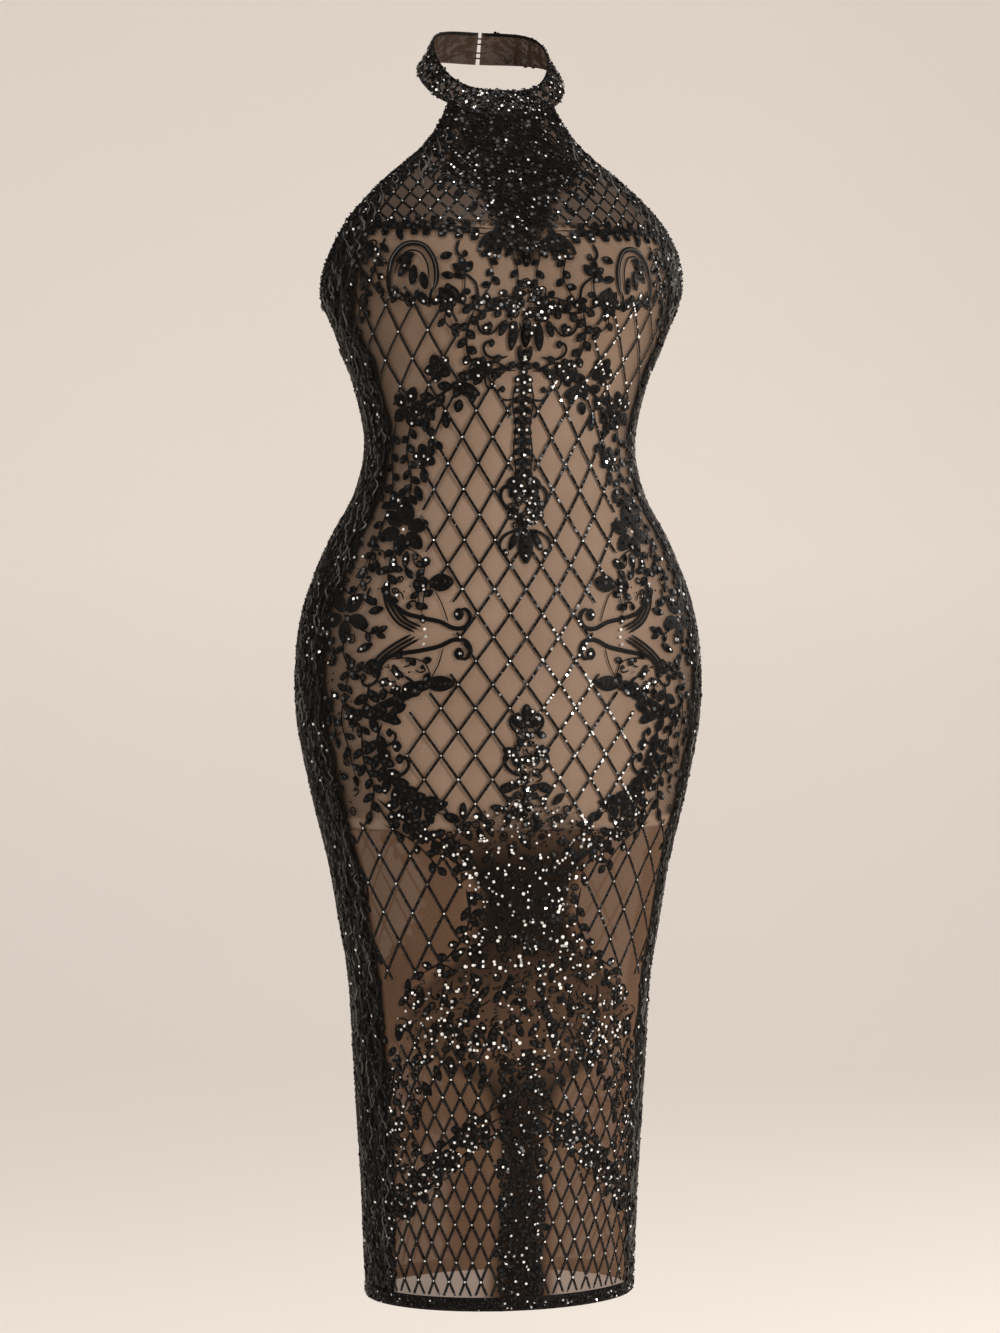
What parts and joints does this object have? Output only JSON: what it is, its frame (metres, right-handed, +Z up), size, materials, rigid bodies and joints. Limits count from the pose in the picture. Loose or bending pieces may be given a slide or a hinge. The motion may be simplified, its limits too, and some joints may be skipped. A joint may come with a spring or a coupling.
{
  "type": "halter cocktail dress",
  "caption": "Sleeveless halter midi dress: sheer sequinned shell over a nude slip, stand collar, cut-in armholes, fitted waist and narrow skirt.",
  "frame": {"origin": "middle of the collar, where the wearer's neck holds the dress up", "axes": "+Z up, -Y towards the front of the dress, +X towards the wearer's left"},
  "size_m": [0.4004, 0.2798, 1.2539],
  "materials": {
    "sheer_mesh": "black sheer mesh, covered with a sequinned lattice and scrolls",
    "sequin_trim": "dense black sequins",
    "nude_slip": "matt nude slip lining",
    "button_black": "black satin-covered button",
    "cord_black": "black cord"
  },
  "bodies": {
    "root": {"front_panel": "sheer_mesh", "back_panel": "sheer_mesh", "collar": "sheer_mesh", "collar_binding": "sequin_trim", "armhole_binding_left": "sequin_trim", "armhole_binding_right": "sequin_trim", "back_top_binding": "sequin_trim", "hem_band": "sequin_trim", "lining_front": "nude_slip", "lining_back": "nude_slip", "button_1": "button_black", "button_2": "button_black", "button_loop_1": "cord_black", "button_loop_2": "cord_black"}
  },
  "joints": []
}
